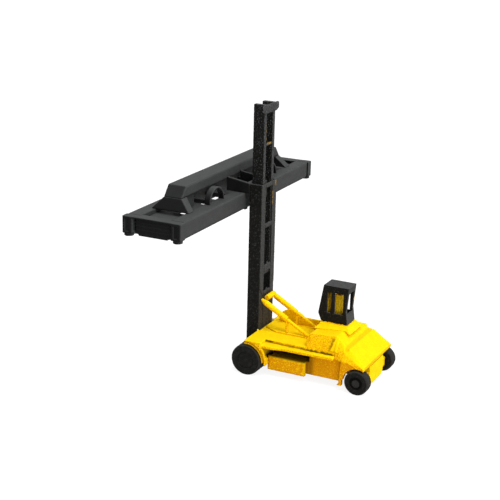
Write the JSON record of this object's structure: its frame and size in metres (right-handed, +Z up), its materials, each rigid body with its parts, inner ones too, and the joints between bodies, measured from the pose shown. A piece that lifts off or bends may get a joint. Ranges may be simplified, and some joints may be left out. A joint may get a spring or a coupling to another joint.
{
  "type": "scale model of an empty container handler",
  "caption": "Small printed scale model of an empty container handler: wheeled chassis, cab, tall two-stage mast and a wide container spreader.",
  "frame": {"origin": "on the ground under the middle of the bounding box", "axes": "+X forward, from the counterweight to the spreader; +Y to the driver's left, along the spreader; +Z up"},
  "size_m": [0.0546, 0.0762, 0.0699],
  "materials": {
    "yellow_nylon": "dyed sintered nylon, fine grain",
    "black_paint": "matt black paint over grainy nylon",
    "black_nylon": "smooth dark grey nylon",
    "black_wheel": "matt black"
  },
  "bodies": {
    "chassis": {"cab_pedestal": "yellow_nylon", "cab_seat": "yellow_nylon", "cab_shell": "black_paint", "centre_panel": "yellow_nylon", "chassis_frame": "yellow_nylon", "counterweight": "yellow_nylon", "deck": "yellow_nylon", "fender_side_left": "yellow_nylon", "fender_side_right": "yellow_nylon", "front_axle": "yellow_nylon", "hood": "yellow_nylon", "mudguard_left": "yellow_nylon", "mudguard_right": "yellow_nylon", "outer_crossbars": "black_paint", "outer_upright_left": "black_paint", "outer_upright_right": "black_paint", "rear_axle": "yellow_nylon", "rear_box": "yellow_nylon", "rear_guard_left": "yellow_nylon", "rear_guard_right": "yellow_nylon", "side_box": "yellow_nylon", "side_wall_left": "yellow_nylon", "side_wall_right": "yellow_nylon", "tank_left": "yellow_nylon", "tank_right": "yellow_nylon", "tilt_cylinder_left": "yellow_nylon", "tilt_cylinder_right": "yellow_nylon"},
    "mast_inner": {"crosshead": "black_paint", "inner_crossbars": "black_paint", "inner_upright_left": "black_paint", "inner_upright_right": "black_paint"},
    "carriage": {"beam_arch_left": "black_nylon", "beam_arch_right": "black_nylon", "beam_box_left": "black_nylon", "beam_box_right": "black_nylon", "carriage_arm_left": "black_nylon", "carriage_arm_right": "black_nylon", "carriage_plate": "black_nylon", "central_beam": "black_nylon", "cross_members": "black_nylon", "end_plate_left": "black_nylon", "end_plate_right": "black_nylon", "rail_front": "black_nylon", "rail_rear": "black_nylon", "saddle_left": "black_nylon", "saddle_right": "black_nylon", "spreader_end_left": "black_nylon", "spreader_end_right": "black_nylon", "twistlocks": "black_nylon"},
    "wheel_front_left": {"front_hub_left": "black_wheel", "front_tyre_inner_left": "black_wheel", "front_tyre_outer_left": "black_wheel"},
    "wheel_front_right": {"front_hub_right": "black_wheel", "front_tyre_inner_right": "black_wheel", "front_tyre_outer_right": "black_wheel"},
    "wheel_rear_left": {"rear_hub_left": "black_wheel", "rear_tyre_left": "black_wheel"},
    "wheel_rear_right": {"rear_hub_right": "black_wheel", "rear_tyre_right": "black_wheel"}
  },
  "joints": [
    {"name": "mast_lift", "type": "slide", "parent": "chassis", "child": "mast_inner", "axis": [0, 0, 1], "range_m": [-0.0175, 0]},
    {"name": "carriage_lift", "type": "slide", "parent": "mast_inner", "child": "carriage", "axis": [0, 0, 1], "range_m": [-0.02, 0.0175]},
    {"name": "front_wheel_left", "type": "hinge", "parent": "chassis", "child": "wheel_front_left", "pos_m": [0.00613, 0.00903, 0.00417], "axis": [0, 1, 0], "continuous": true},
    {"name": "front_wheel_right", "type": "hinge", "parent": "chassis", "child": "wheel_front_right", "pos_m": [0.00613, -0.00903, 0.00417], "axis": [0, 1, 0], "continuous": true},
    {"name": "rear_wheel_left", "type": "hinge", "parent": "chassis", "child": "wheel_rear_left", "pos_m": [-0.02407, 0.009, 0.00325], "axis": [0, 1, 0], "continuous": true},
    {"name": "rear_wheel_right", "type": "hinge", "parent": "chassis", "child": "wheel_rear_right", "pos_m": [-0.02407, -0.009, 0.00325], "axis": [0, 1, 0], "continuous": true}
  ]
}
